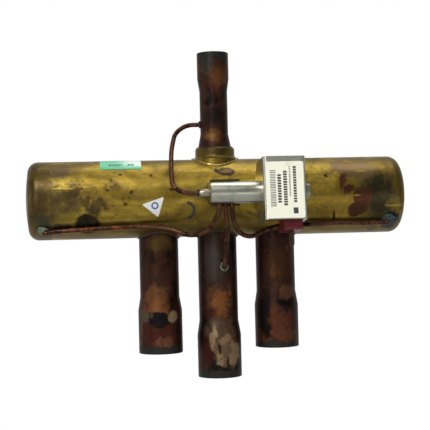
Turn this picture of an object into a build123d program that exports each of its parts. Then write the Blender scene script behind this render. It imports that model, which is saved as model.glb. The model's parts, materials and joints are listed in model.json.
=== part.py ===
"""Four way reversing valve with its pilot valve and solenoid coil.

+X runs along the valve body, +Z points up the discharge stub and -Y faces the pilot valve.
The origin is the mouth of the suction stub's socket, on its axis. Lengths are in millimetres.
"""

import os
from math import cos, pi, radians, sin, sqrt, tan

from build123d import *

# Valve body
body_od = 44.0
body_wall = 1.6
body_length = 215.0
cap_skirt = 14.0
cap_wall = 1.8
cap_corner = 6.0
cap_crown = 1.2
cap_spigot = 4.0
braze_gap = 0.05

# Connection stubs
port_pitch = 33.5
stub_od = 22.2
stub_wall = 1.25
socket_bore = 22.36
socket_depth = 24.0
socket_cone = 8.0
suction_drop = 102.0
left_drop = 87.4
right_drop = 86.0
stub_insert = 9.0

# Discharge stub and the brass boss that it is brazed into
discharge_height = 83.0
discharge_od = 15.88
discharge_wall = 1.0
discharge_socket_bore = 16.02
discharge_socket_depth = 15.0
discharge_cone = 7.0
discharge_foot_od = 19.0
discharge_foot_wall = 1.2
discharge_foot_cone = 8.0
boss_height = 6.3
boss_top_od = 22.4
boss_foot_od = 26.4
boss_fillet = 2.0
discharge_port = 15.0

# Seat block, slide and shuttle
seat_face_drop = 9.0
seat_clearance = 1.2
seat_port = 16.0
slide_wall = 2.0
slide_height = 15.0
slide_lip = 1.5
slide_flange = 2.5
slide_crown = 6.0
leaf_thickness = 0.3
yoke_thickness = 1.5
yoke_width = 26.0
yoke_tab_height = 17.0
yoke_gas_hole = 15.0
window_gap = 0.25
seal_gap = 0.05
piston_disc = 3.0
piston_disc_gap = 0.5
seal_thickness = 0.9
seal_lip = 4.6
clamp_disc = 2.2
clamp_disc_inset = 3.4
expander_thickness = 0.4
expander_length = 3.2
expander_slots = 16
bleed_hole = 1.0
bleed_radius = 12.0
piston_screw_od = 3.0
piston_screw_head_od = 6.0
piston_screw_head = 2.0
piston_screw_pitch = 14.0
end_clearance = 0.3

# Pilot valve, whose own X runs along its sleeve and starts at its middle port
pilot_clear = 14.0
pilot_rise = 1.5
pilot_start = 1.0
pilot_od = 12.0
pilot_wall = 0.8
pilot_left = 8.0
pilot_port_pitch = 3.4
pilot_port = 1.4
pilot_plug_depth = 1.5
pilot_plug_lip = 0.8
nipple_od = 4.6
nipple_length = 3.4
nipple_tip = 2.2
nipple_tip_od = 3.4
pilot_seat_length = 14.2
pilot_seat_drop = 1.5
pilot_slide_wall = 1.1
pilot_slide_height = 3.0
pilot_slide_width = 4.4
carrier_thickness = 0.5
carrier_width = 7.0
plunger_start = 8.0
plunger_length = 19.0
plunger_gap = 0.08
plunger_bore = 6.0
plunger_bore_depth = 9.0
spring_od = 5.0
spring_wire = 0.6
spring_turns = 8
core_bore = 4.2
core_bore_depth = 8.0
bracket_length = 16.0
bracket_thickness = 1.5
bracket_height = 11.0
bracket_edge = 1.8

# Solenoid coil on the sleeve's right end
coil_start = 18.7
coil_width = 23.0
coil_height = 34.0
coil_front = 15.5
coil_back = 13.0
coil_turn = 6.0
frame_thickness = 1.5
frame_bend = 2.0
frame_chamfer = 7.0
moulding_height = 30.0
moulding_front = 13.4
moulding_back = 12.4
moulding_corner = 7.0
moulding_wall = 1.6
bobbin_wall = 1.0
bobbin_flange = 1.2
bobbin_flange_od = 23.0
winding_od = 21.5
sleeve_gap = 0.2
terminal_block_width = 10.0
terminal_block_depth = 17.0
terminal_block_drop = 7.0
blade_width = 4.8
blade_thickness = 0.8
blade_length = 8.0
blade_root = 5.0
blade_pitch = 8.0
blade_hole = 1.3
coil_screw_od = 4.0
coil_screw_head_af = 8.0
coil_screw_head = 3.4
lock_washer = 1.0
lock_washer_od = 8.4
lock_washer_slit = 0.8

# Capillary tubes
capillary_od = 2.6
capillary_bore = 1.3
capillary_lift = 0.25
capillary_sink = 3.0
capillary_drop = 9.5
capillary_hump = 1.0

# Stickers
sticker_thickness = 0.15
sticker_gap = 0.02
coil_label_height = 30.5
coil_label_lap = 0.7
coil_label_drop = 3.0
green_label_inset = 41.5
green_label_width = 23.0
green_label_front = 42.0
green_label_back = 36.0
tag_corner_a = (-43.6, -3.6)
tag_corner_b = (-31.4, 0.4)
tag_corner_c = (-34.7, -10.8)
tag_corner_round = 0.5

# Sizes that follow from the ones above
axis_z = suction_drop
body_r = body_od / 2
body_bore_r = body_r - body_wall
pilot_offset = body_r + pilot_clear
piston_disc_od = 2 * (body_bore_r - piston_disc_gap)
clamp_disc_od = 2 * (body_bore_r - clamp_disc_inset)
green_label_start = green_label_inset - body_length / 2
tube_length = body_length - 2 * cap_skirt
stroke = port_pitch
slide_shift = -stroke / 2
slide_cavity = port_pitch + seat_port
piston_reach = tube_length / 2 - cap_spigot - stroke / 2 - end_clearance
piston_inner = piston_reach - piston_disc - seal_thickness - seal_lip
seat_length = 2 * (piston_inner - stroke / 2 - seat_clearance)
yoke_floor = -seat_face_drop + slide_flange + leaf_thickness + 0.1
pilot_stroke = pilot_port_pitch
pilot_bore_r = pilot_od / 2 - pilot_wall
coil_end = coil_start + coil_width
core_end = coil_end - frame_thickness
core_start = plunger_start + plunger_length + pilot_stroke
capillary_ring = body_r + capillary_od / 2 + capillary_lift
boss_top = body_r + boss_height

body_axis = Axis((0, 0, axis_z), (1, 0, 0))
along_body = Plane(origin=(0, 0, axis_z), x_dir=(1, 0, 0), z_dir=(0, -1, 0))
across_body = Plane(origin=(0, 0, axis_z), x_dir=(0, 1, 0), z_dir=(1, 0, 0))
level = Plane.XY.offset(axis_z)
pilot_place = Location((pilot_start, -pilot_offset, axis_z + pilot_rise))
coil_place = pilot_place * Location((0, 0, 0), (-coil_turn, 0, 0))
pilot_side = Plane(origin=(0, 0, 0), x_dir=(1, 0, 0), z_dir=(0, -1, 0))
pilot_across = Plane(origin=(0, 0, 0), x_dir=(0, 1, 0), z_dir=(1, 0, 0))

os.makedirs("parts", exist_ok=True)


def save(part, name, place=Location()):
    """Labels a finished piece and writes it as its own file."""
    placed = part.moved(place)
    placed.label = name
    export_step(placed, f"parts/{name}.step")


def at_pilot(x, y, z):
    """A point given from the pilot valve's middle port, in the valve's frame."""
    return (pilot_start + x, -pilot_offset + y, axis_z + pilot_rise + z)


def on_body(x, angle, radius):
    """A point at an angle below the front of the body, at a radius from its axis."""
    return (
        x,
        -radius * cos(radians(angle)),
        axis_z - radius * sin(radians(angle)),
    )


# ---------------------------------------------------------------- valve body


def body_solid(radius):
    """A plain cylinder on the body's axis, for trimming what is saddled onto it."""
    with BuildPart() as blank:
        with BuildSketch(across_body.offset(-body_length)):
            Circle(radius)
        extrude(amount=2 * body_length)
    return blank.part


def make_body_tube():
    with BuildPart() as tube:
        with BuildSketch(across_body.offset(-tube_length / 2)):
            Circle(body_r)
            Circle(body_bore_r, mode=Mode.SUBTRACT)
        extrude(amount=tube_length)
        with BuildSketch(level):
            with Locations((-port_pitch, 0), (0, 0), (port_pitch, 0)):
                Circle(stub_od / 2 + braze_gap)
        extrude(amount=-body_od, mode=Mode.SUBTRACT)
        with BuildSketch(level):
            Circle(discharge_port / 2)
        extrude(amount=body_od, mode=Mode.SUBTRACT)
    save(tube.part, "valve_body_tube")


def make_end_cap(name, side, port_x, port_angle):
    """A drawn brass cup, butted on the tube and registered in its bore by a spigot."""
    outer_end = body_length / 2
    rim = outer_end - cap_crown
    seam = tube_length / 2
    spigot_r = body_bore_r - braze_gap
    inside_r = spigot_r - cap_wall
    inside_end = rim - cap_wall
    corner_inside = cap_corner - cap_wall
    flat_r = body_r - cap_corner
    bend = sqrt(0.5)
    with BuildPart() as cap:
        with BuildSketch(along_body):
            with BuildLine():
                Line((inside_end, 0), (outer_end, 0))
                ThreePointArc((outer_end, 0), (outer_end - cap_crown / 4, flat_r / 2), (rim, flat_r))
                ThreePointArc(
                    (rim, flat_r),
                    (rim - cap_corner * (1 - bend), flat_r + cap_corner * bend),
                    (rim - cap_corner, body_r),
                )
                Polyline(
                    (rim - cap_corner, body_r),
                    (seam, body_r),
                    (seam, spigot_r),
                    (seam - cap_spigot, spigot_r),
                    (seam - cap_spigot, inside_r),
                    (inside_end - corner_inside, inside_r),
                )
                ThreePointArc(
                    (inside_end - corner_inside, inside_r),
                    (
                        inside_end - corner_inside * (1 - bend),
                        inside_r - corner_inside * (1 - bend),
                    ),
                    (inside_end, inside_r - corner_inside),
                )
                Line((inside_end, inside_r - corner_inside), (inside_end, 0))
            make_face()
        revolve(axis=body_axis)
        if side < 0:
            mirror(about=Plane.YZ, mode=Mode.REPLACE)
        inward = Plane(
            origin=on_body(port_x, port_angle, capillary_ring + capillary_od),
            x_dir=(1, 0, 0),
            z_dir=Vector(0, cos(radians(port_angle)), sin(radians(port_angle))),
        )
        with BuildSketch(inward):
            Circle(capillary_od / 2 + braze_gap)
        extrude(amount=body_r / 2, mode=Mode.SUBTRACT)
    save(cap.part, name)


def make_discharge_boss():
    """A turned brass collar, saddled on the body around the discharge port."""
    with BuildPart() as boss:
        with BuildSketch(Plane.XZ):
            with BuildLine():
                Polyline(
                    (discharge_foot_od / 2 + braze_gap, axis_z + body_r / 2),
                    (discharge_foot_od / 2 + braze_gap, axis_z + boss_top),
                    (boss_top_od / 2 - 0.6, axis_z + boss_top),
                    (boss_top_od / 2, axis_z + boss_top - 0.6),
                    (boss_top_od / 2, axis_z + body_r + boss_fillet),
                )
                RadiusArc(
                    (boss_top_od / 2, axis_z + body_r + boss_fillet),
                    (boss_foot_od / 2, axis_z + body_r),
                    -boss_fillet * 1.4,
                )
                Polyline(
                    (boss_foot_od / 2, axis_z + body_r),
                    (boss_foot_od / 2, axis_z + body_r / 2),
                    (discharge_foot_od / 2 + braze_gap, axis_z + body_r / 2),
                )
            make_face()
        revolve(axis=Axis.Z)
        add(body_solid(body_r + sticker_gap), mode=Mode.SUBTRACT)
    save(boss.part, "discharge_boss")


# ---------------------------------------------------------------- copper stubs


def tube_wall(rings):
    """Revolves a tube about Z from (height, outer radius, inner radius) rings."""
    with BuildPart() as wall:
        with BuildSketch(Plane.XZ):
            with BuildLine():
                outer = [(r_out, z) for z, r_out, r_in in rings]
                inner = [(r_in, z) for z, r_out, r_in in reversed(rings)]
                Polyline(*outer, *inner, close=True)
            make_face()
        revolve(axis=Axis.Z)
    return wall.part


def make_lower_stub(name, x, drop, capillary_z=None, capillary_x=0.0):
    """A copper stub with its lower end expanded into a socket for the line."""
    mouth = axis_z - drop
    bore_r = stub_od / 2 - stub_wall
    rings = [
        (mouth, socket_bore / 2 + stub_wall, socket_bore / 2),
        (mouth + socket_depth, socket_bore / 2 + stub_wall, socket_bore / 2),
        (mouth + socket_depth + socket_cone, stub_od / 2, bore_r),
        (axis_z - body_bore_r + stub_insert, stub_od / 2, bore_r),
    ]
    with BuildPart() as stub:
        add(tube_wall(rings))
        lip = stub.edges().filter_by(GeomType.CIRCLE).group_by(Axis.Z)[0]
        fillet(lip.sort_by(SortBy.RADIUS)[-1], stub_wall * 0.4)
        if capillary_z is not None:
            with BuildSketch(Plane.XZ):
                with Locations((capillary_x, capillary_z)):
                    Circle(capillary_od / 2 + braze_gap)
            extrude(amount=stub_od, mode=Mode.SUBTRACT)
    save(stub.part, name, Location((x, 0, 0)))


def make_discharge_stub(capillary_z):
    mouth = axis_z + discharge_height
    neck_r = discharge_od / 2
    foot_top = axis_z + boss_top
    rings = [
        (axis_z + body_bore_r / 2, discharge_foot_od / 2, discharge_foot_od / 2 - discharge_foot_wall),
        (foot_top, discharge_foot_od / 2, discharge_foot_od / 2 - discharge_foot_wall),
        (foot_top + discharge_foot_cone, neck_r, neck_r - discharge_wall),
        (
            mouth - discharge_socket_depth - discharge_cone,
            neck_r,
            neck_r - discharge_wall,
        ),
        (
            mouth - discharge_socket_depth,
            discharge_socket_bore / 2 + discharge_wall,
            discharge_socket_bore / 2,
        ),
        (mouth, discharge_socket_bore / 2 + discharge_wall, discharge_socket_bore / 2),
    ]
    with BuildPart() as stub:
        add(tube_wall(rings))
        lip = stub.edges().filter_by(GeomType.CIRCLE).group_by(Axis.Z)[-1]
        fillet(lip.sort_by(SortBy.RADIUS)[-1], discharge_wall * 0.4)
        add(body_solid(body_r + sticker_gap), mode=Mode.SUBTRACT)
        with BuildSketch(Plane.YZ):
            with Locations((0, capillary_z)):
                Circle(capillary_od / 2 + braze_gap)
        extrude(amount=-discharge_od, mode=Mode.SUBTRACT)
    save(stub.part, "discharge_stub")


# ---------------------------------------------------------------- seat and shuttle


def make_seat_block():
    """The ported brass seat: a segment of the bore with a lapped flat face."""
    seat_top = axis_z - seat_face_drop
    with BuildPart() as seat:
        with BuildSketch(across_body.offset(-seat_length / 2)):
            Circle(body_bore_r - braze_gap)
            with Locations((0, body_bore_r - seat_face_drop)):
                Rectangle(2 * body_bore_r, 2 * body_bore_r, mode=Mode.SUBTRACT)
        extrude(amount=seat_length)
        with BuildSketch(Plane.XY.offset(seat_top)):
            with Locations((-port_pitch, 0), (0, 0), (port_pitch, 0)):
                Circle(seat_port / 2)
        extrude(amount=-body_od, mode=Mode.SUBTRACT)
        with BuildSketch(Plane.XY.offset(axis_z - body_bore_r + stub_insert)):
            with Locations((-port_pitch, 0), (0, 0), (port_pitch, 0)):
                Circle(stub_od / 2 + braze_gap)
        extrude(amount=-body_od, mode=Mode.SUBTRACT)
    save(seat.part, "valve_seat_block")


def make_main_slide():
    """The moulded slide: a hollow dome that joins the suction port to one neighbour."""
    face = axis_z - seat_face_drop + braze_gap
    dome_length = slide_cavity + 2 * slide_wall
    dome_width = seat_port + 2 * slide_wall
    base = Plane.XY.offset(face)
    with BuildPart() as slide:
        with BuildSketch(base):
            with Locations((slide_shift, 0)):
                SlotOverall(dome_length, dome_width)
        extrude(amount=slide_height)
        fillet(slide.faces().sort_by(Axis.Z)[-1].edges(), slide_crown)
        with BuildSketch(base):
            with Locations((slide_shift, 0)):
                SlotOverall(dome_length + 2 * slide_lip, dome_width + 2 * slide_lip)
        extrude(amount=slide_flange)
        with BuildPart(mode=Mode.SUBTRACT) as cavity:
            with BuildSketch(base):
                with Locations((slide_shift, 0)):
                    SlotOverall(slide_cavity, seat_port)
            extrude(amount=slide_height - slide_wall)
            fillet(cavity.faces().sort_by(Axis.Z)[-1].edges(), slide_crown - slide_wall)
    save(slide.part, "main_slide")


def make_slide_leaf():
    """The thin ring spring between the slide's flange and the yoke."""
    floor = axis_z - seat_face_drop + slide_flange + 2 * braze_gap
    dome_length = slide_cavity + 2 * slide_wall
    dome_width = seat_port + 2 * slide_wall
    with BuildPart() as leaf:
        with BuildSketch(Plane.XY.offset(floor)):
            with Locations((slide_shift, 0)):
                SlotOverall(dome_length + 2 * slide_lip, dome_width + 2 * slide_lip)
                SlotOverall(
                    dome_length + 2 * window_gap,
                    dome_width + 2 * window_gap,
                    mode=Mode.SUBTRACT,
                )
        extrude(amount=leaf_thickness - braze_gap)
    save(leaf.part, "slide_leaf_spring")


def make_shuttle_yoke():
    """The stamped plate that carries the slide and ties the two pistons together."""
    dome_length = slide_cavity + 2 * slide_wall
    dome_width = seat_port + 2 * slide_wall
    half = piston_inner
    gas_x = (half + dome_length / 2) / 2
    floor = axis_z + yoke_floor
    with BuildPart() as yoke:
        with BuildSketch(Plane.XY.offset(floor)):
            with Locations((slide_shift, 0)):
                Rectangle(2 * half, yoke_width)
                SlotOverall(
                    dome_length + 2 * window_gap,
                    dome_width + 2 * window_gap,
                    mode=Mode.SUBTRACT,
                )
                with Locations((-gas_x, 0), (gas_x, 0)):
                    Circle(yoke_gas_hole / 2, mode=Mode.SUBTRACT)
        extrude(amount=yoke_thickness)
        for side in (-1, 1):
            tab = across_body.offset(slide_shift + side * half)
            with BuildSketch(tab):
                with Locations((0, yoke_floor + yoke_tab_height / 2)):
                    RectangleRounded(yoke_width, yoke_tab_height, yoke_thickness)
                with Locations((-piston_screw_pitch / 2, 0), (piston_screw_pitch / 2, 0)):
                    Circle(piston_screw_od / 2 + braze_gap, mode=Mode.SUBTRACT)
            extrude(amount=-side * yoke_thickness)
    save(yoke.part, "shuttle_yoke")


def piston_holes(bleed=True):
    """Adds the screw holes and the bleed hole to the sketch in hand."""
    with Locations((-piston_screw_pitch / 2, 0), (piston_screw_pitch / 2, 0)):
        Circle(piston_screw_od / 2 + braze_gap, mode=Mode.SUBTRACT)
    if bleed:
        with Locations((0, bleed_radius)):
            Circle(bleed_hole / 2, mode=Mode.SUBTRACT)


def make_piston(side_name, side):
    """One piston: backing disc, cup seal, its expander and the clamp disc."""
    start = slide_shift + side * piston_inner
    seal_at = start + side * piston_disc
    clamp_at = seal_at + side * seal_thickness

    with BuildPart() as disc:
        with BuildSketch(across_body.offset(start)):
            Circle(piston_disc_od / 2)
            piston_holes()
        extrude(amount=side * piston_disc)
        chamfer(disc.edges().filter_by(GeomType.CIRCLE).sort_by(SortBy.RADIUS)[-2:], 0.3)
    save(disc.part, f"{side_name}_piston_disc")

    seal_r = body_bore_r - seal_gap
    with BuildPart() as seal:
        with BuildSketch(across_body.offset(seal_at)):
            Circle(seal_r)
            piston_holes()
        extrude(amount=side * seal_thickness)
        with BuildSketch(across_body.offset(clamp_at)):
            Circle(seal_r)
            Circle(seal_r - seal_thickness, mode=Mode.SUBTRACT)
        extrude(amount=side * seal_lip)
        heel = seal.edges().filter_by(GeomType.CIRCLE).group_by(Axis.X)[0 if side > 0 else -1]
        fillet(heel.sort_by(SortBy.RADIUS)[-1], seal_thickness * 0.6)
    save(seal.part, f"{side_name}_piston_seal")

    ring_r = seal_r - seal_thickness - braze_gap
    with BuildPart() as ring:
        with BuildSketch(across_body.offset(clamp_at + side * braze_gap)):
            Circle(ring_r)
            Circle(ring_r - expander_thickness, mode=Mode.SUBTRACT)
        extrude(amount=side * expander_length)
        slot_width = ring_r / expander_slots
        with BuildSketch(across_body.offset(clamp_at + side * expander_length * 0.35)):
            with PolarLocations(ring_r, expander_slots):
                Rectangle(4 * expander_thickness, slot_width)
        extrude(amount=side * expander_length, mode=Mode.SUBTRACT)
    save(ring.part, f"{side_name}_seal_expander")

    with BuildPart() as clamp:
        with BuildSketch(across_body.offset(clamp_at)):
            Circle(clamp_disc_od / 2)
            piston_holes()
        extrude(amount=side * clamp_disc)
        rim = clamp.edges().filter_by(GeomType.CIRCLE).sort_by(SortBy.RADIUS)[-2:]
        chamfer(rim, 0.4)
    save(clamp.part, f"{side_name}_clamp_disc")


def make_piston_screws():
    """Four pan head screws, two through each piston into the yoke's tab."""
    grip = yoke_thickness + piston_disc + seal_thickness + clamp_disc
    with BuildPart() as screws:
        for side in (-1, 1):
            tip = slide_shift + side * (piston_inner - yoke_thickness)
            centres = [(-piston_screw_pitch / 2, 0), (piston_screw_pitch / 2, 0)]
            with BuildSketch(across_body.offset(tip)):
                with Locations(*centres):
                    Circle(piston_screw_od / 2)
            extrude(amount=side * grip)
            with BuildSketch(across_body.offset(tip + side * grip)):
                with Locations(*centres):
                    Circle(piston_screw_head_od / 2)
            extrude(amount=side * piston_screw_head)
            with BuildSketch(across_body.offset(tip + side * (grip + piston_screw_head))):
                with Locations(*centres):
                    Rectangle(piston_screw_head_od, 0.8)
            extrude(amount=-side * piston_screw_head / 2, mode=Mode.SUBTRACT)
    save(screws.part, "piston_screws")


# ---------------------------------------------------------------- pilot valve


def pilot_port_spots():
    return [(-pilot_port_pitch, 0), (0, 0), (pilot_port_pitch, 0)]


def make_pilot_sleeve():
    with BuildPart() as sleeve:
        with BuildSketch(pilot_across.offset(-pilot_left)):
            Circle(pilot_od / 2)
            Circle(pilot_bore_r, mode=Mode.SUBTRACT)
        extrude(amount=pilot_left + core_end)
        with BuildSketch(Plane.XY):
            with Locations(*pilot_port_spots()):
                Circle(capillary_od / 2 + braze_gap)
        extrude(amount=-pilot_od, mode=Mode.SUBTRACT)
    save(sleeve.part, "pilot_sleeve", pilot_place)


def make_pilot_plug():
    """The plug that closes the sleeve's left end and takes the discharge capillary."""
    face = -pilot_left - pilot_plug_lip
    tip = face - nipple_length - nipple_tip
    bore = capillary_od / 2 + braze_gap
    with BuildPart() as plug:
        with BuildSketch(pilot_side):
            with BuildLine():
                Polyline(
                    (-pilot_left + pilot_plug_depth, 0),
                    (-pilot_left + pilot_plug_depth, pilot_bore_r - braze_gap),
                    (-pilot_left, pilot_bore_r - braze_gap),
                    (-pilot_left, pilot_od / 2),
                    (face + 0.3, pilot_od / 2),
                    (face, pilot_od / 2 - 0.5),
                    (face, nipple_od / 2),
                    (face - nipple_length, nipple_od / 2),
                    (tip, nipple_tip_od / 2),
                    (tip, 0),
                    close=True,
                )
            make_face()
        revolve(axis=Axis.X)
        with BuildSketch(pilot_across.offset(tip)):
            Circle(bore)
        extrude(amount=capillary_sink + braze_gap, mode=Mode.SUBTRACT)
        with BuildSketch(pilot_across.offset(tip)):
            Circle(capillary_bore / 2)
        extrude(amount=pilot_od, mode=Mode.SUBTRACT)
    save(plug.part, "pilot_plug", pilot_place)
    return tip


def make_pilot_seat():
    with BuildPart() as seat:
        with BuildSketch(pilot_across.offset(plunger_start - plunger_gap)):
            Circle(pilot_bore_r - braze_gap)
            with Locations((0, pilot_bore_r - pilot_seat_drop)):
                Rectangle(2 * pilot_bore_r, 2 * pilot_bore_r, mode=Mode.SUBTRACT)
        extrude(amount=-pilot_seat_length)
        with BuildSketch(Plane.XY):
            with Locations(*pilot_port_spots()):
                Circle(pilot_port / 2)
        extrude(amount=-pilot_od, mode=Mode.SUBTRACT)
        with BuildSketch(Plane.XY.offset(-pilot_bore_r + capillary_sink - pilot_wall)):
            with Locations(*pilot_port_spots()):
                Circle(capillary_od / 2 + braze_gap)
        extrude(amount=-pilot_od, mode=Mode.SUBTRACT)
    save(seat.part, "pilot_seat", pilot_place)


def pilot_slide_length():
    return pilot_port_pitch + pilot_port + 2 * pilot_slide_wall


def make_pilot_slide():
    """The small slide that joins the middle pilot port to one neighbour."""
    base = Plane.XY.offset(-pilot_seat_drop + braze_gap)
    centre = (-pilot_stroke / 2, 0)
    with BuildPart() as slide:
        with BuildSketch(base):
            with Locations(centre):
                RectangleRounded(pilot_slide_length(), pilot_slide_width, 0.8)
        extrude(amount=pilot_slide_height)
        with BuildSketch(base):
            with Locations(centre):
                SlotOverall(pilot_port_pitch + pilot_port, pilot_port)
        extrude(amount=pilot_slide_height / 2, mode=Mode.SUBTRACT)
    save(slide.part, "pilot_slide", pilot_place)


def make_pilot_carrier():
    """The stamped carrier: a windowed strip and a tab fixed to the plunger."""
    window = pilot_slide_length() + 0.1
    height = -pilot_seat_drop + pilot_slide_height * 0.45
    left = -pilot_stroke / 2 - window / 2 - 0.7
    with BuildPart() as carrier:
        with BuildSketch(Plane.XY.offset(height)):
            with Locations(((left + plunger_start) / 2, 0)):
                Rectangle(plunger_start - left, carrier_width)
            with Locations((-pilot_stroke / 2, 0)):
                Rectangle(window, pilot_slide_width + 0.1, mode=Mode.SUBTRACT)
        extrude(amount=carrier_thickness)
        with BuildSketch(pilot_across.offset(plunger_start)):
            with Locations((0, height + 1.5)):
                Rectangle(carrier_width, 3.0)
        extrude(amount=-carrier_thickness)
    save(carrier.part, "pilot_carrier", pilot_place)


def make_pilot_leaf():
    """The bowed leaf that holds the small slide down on its seat."""
    base = -pilot_seat_drop + pilot_slide_height + 2 * braze_gap
    half = pilot_slide_length() / 2
    rise = 0.9
    with BuildPart() as leaf:
        with BuildSketch(pilot_side):
            with BuildLine():
                crest = (-pilot_stroke / 2, base)
                left = (crest[0] - half, base + rise)
                right = (crest[0] + half, base + rise)
                bow = ThreePointArc(left, crest, right)
                offset(bow, amount=carrier_thickness / 2, side=Side.LEFT)
            make_face()
        extrude(amount=pilot_slide_width / 2 - 0.3, both=True)
    save(leaf.part, "pilot_leaf_spring", pilot_place)


def make_plunger():
    with BuildPart() as plunger:
        with BuildSketch(pilot_across.offset(plunger_start)):
            Circle(pilot_bore_r - plunger_gap)
        extrude(amount=plunger_length)
        chamfer(plunger.edges().filter_by(GeomType.CIRCLE), 0.4)
        with BuildSketch(pilot_across.offset(plunger_start + plunger_length)):
            Circle(plunger_bore / 2)
        extrude(amount=-plunger_bore_depth, mode=Mode.SUBTRACT)
        with BuildSketch(pilot_across.offset(plunger_start)):
            with PolarLocations(pilot_bore_r, 2, start_angle=90):
                Circle(0.9)
        extrude(amount=plunger_length, mode=Mode.SUBTRACT)
    save(plunger.part, "plunger", pilot_place)


def make_return_spring():
    start = plunger_start + plunger_length - plunger_bore_depth + spring_wire / 2 + braze_gap
    end = core_start - spring_wire / 2 - braze_gap
    mean_r = (spring_od - spring_wire) / 2
    pitch = (end - start) / spring_turns
    with BuildPart() as spring:
        with BuildLine():
            coil = Helix(pitch, end - start, mean_r, center=(start, 0, 0), direction=(1, 0, 0))
        with BuildSketch(Plane(origin=coil @ 0, z_dir=coil % 0)):
            Circle(spring_wire / 2)
        sweep(path=coil, is_frenet=True)
    save(spring.part, "return_spring", pilot_place)


def make_fixed_core():
    with BuildPart() as core:
        with BuildSketch(pilot_across.offset(core_start)):
            Circle(pilot_bore_r - braze_gap)
        extrude(amount=core_end - core_start)
        chamfer(core.edges().filter_by(GeomType.CIRCLE).group_by(Axis.X)[0], 0.5)
        with BuildSketch(pilot_across.offset(core_end)):
            Circle(core_bore / 2)
        extrude(amount=-core_bore_depth, mode=Mode.SUBTRACT)
    save(core.part, "fixed_core", pilot_place)


def make_pilot_bracket():
    """The pressed saddle that carries the pilot valve off the body."""
    outer_r = pilot_od / 2 + bracket_thickness
    reach = pilot_offset
    with BuildPart() as bracket:
        with BuildSketch(pilot_across.offset(-bracket_length / 2)):
            with Locations((reach / 2, 0)):
                Rectangle(reach, bracket_height)
                Rectangle(reach, bracket_height - 2 * bracket_thickness, mode=Mode.SUBTRACT)
            Circle(outer_r)
            with Locations((bracket_edge - outer_r, 0)):
                Rectangle(2 * outer_r, 2 * outer_r, mode=Mode.SUBTRACT)
            Circle(pilot_od / 2 + braze_gap, mode=Mode.SUBTRACT)
        extrude(amount=bracket_length)
        add(body_solid(body_r + sticker_gap).moved(pilot_place.inverse()), mode=Mode.SUBTRACT)
    save(bracket.part, "pilot_bracket", pilot_place)


# ---------------------------------------------------------------- solenoid coil


def make_coil_frame():
    """The bent steel yoke: a front plate with two holed legs."""
    with BuildPart() as frame:
        with BuildSketch(Plane.XY.offset(-coil_height / 2)) as plan:
            with Locations((coil_start + coil_width / 2, (coil_back - coil_front) / 2)):
                Rectangle(coil_width, coil_front + coil_back)
            corners = plan.vertices().group_by(Axis.Y)[0]
            fillet(corners, frame_bend)
        extrude(amount=coil_height)
        with BuildSketch(Plane.XY.offset(-coil_height / 2)) as hollow:
            with Locations(
                (coil_start + coil_width / 2, (coil_back - coil_front + frame_thickness) / 2 + 0.5)
            ):
                Rectangle(
                    coil_width - 2 * frame_thickness,
                    coil_front + coil_back - frame_thickness + 1.0,
                )
            fillet(hollow.vertices().group_by(Axis.Y)[0], frame_bend - frame_thickness)
        extrude(amount=coil_height, mode=Mode.SUBTRACT)
        rear = frame.edges().filter_by(Axis.X).group_by(Axis.Y)[-1]
        chamfer(rear, frame_chamfer)
        with BuildSketch(pilot_across.offset(coil_start)):
            Circle(pilot_od / 2 + braze_gap)
        extrude(amount=frame_thickness, mode=Mode.SUBTRACT)
        with BuildSketch(pilot_across.offset(coil_end)):
            Circle(coil_screw_od / 2 + sleeve_gap)
        extrude(amount=-frame_thickness, mode=Mode.SUBTRACT)
    save(frame.part, "coil_frame", coil_place)


def winding_room():
    """Where the bobbin starts and ends along the sleeve."""
    start = coil_start + frame_thickness + moulding_wall
    end = coil_end - frame_thickness - moulding_wall
    return start, end


def make_coil_moulding():
    """The red encapsulation around the bobbin, with its terminal block."""
    start = coil_start + frame_thickness + sleeve_gap / 2
    end = coil_end - frame_thickness - sleeve_gap / 2
    room_start, room_end = winding_room()
    middle = (moulding_back - moulding_front) / 2
    block_z = -moulding_height / 2 - terminal_block_drop / 2
    with BuildPart() as moulding:
        with BuildSketch(pilot_across.offset(start)):
            with Locations((middle, 0)):
                RectangleRounded(
                    moulding_front + moulding_back, moulding_height, moulding_corner
                )
        extrude(amount=end - start)
        with BuildSketch(pilot_across.offset(end)):
            with Locations((middle, block_z + 1.5)):
                RectangleRounded(terminal_block_depth, terminal_block_drop + 3.0, 1.0)
        extrude(amount=-terminal_block_width)
        with BuildSketch(pilot_across.offset(room_start)):
            Circle(bobbin_flange_od / 2 + braze_gap)
        extrude(amount=room_end - room_start, mode=Mode.SUBTRACT)
        with BuildSketch(pilot_across.offset(start)):
            Circle(pilot_od / 2 + sleeve_gap)
        extrude(amount=end - start, mode=Mode.SUBTRACT)
        floor = -moulding_height / 2 - terminal_block_drop
        with BuildSketch(Plane.XY.offset(floor)):
            for y in (-blade_pitch / 2, blade_pitch / 2):
                with Locations((end - terminal_block_width / 2, middle + y)):
                    Rectangle(blade_thickness + 0.1, blade_width + 0.1)
        extrude(amount=blade_root, mode=Mode.SUBTRACT)
    save(moulding.part, "coil_moulding", coil_place)


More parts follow.
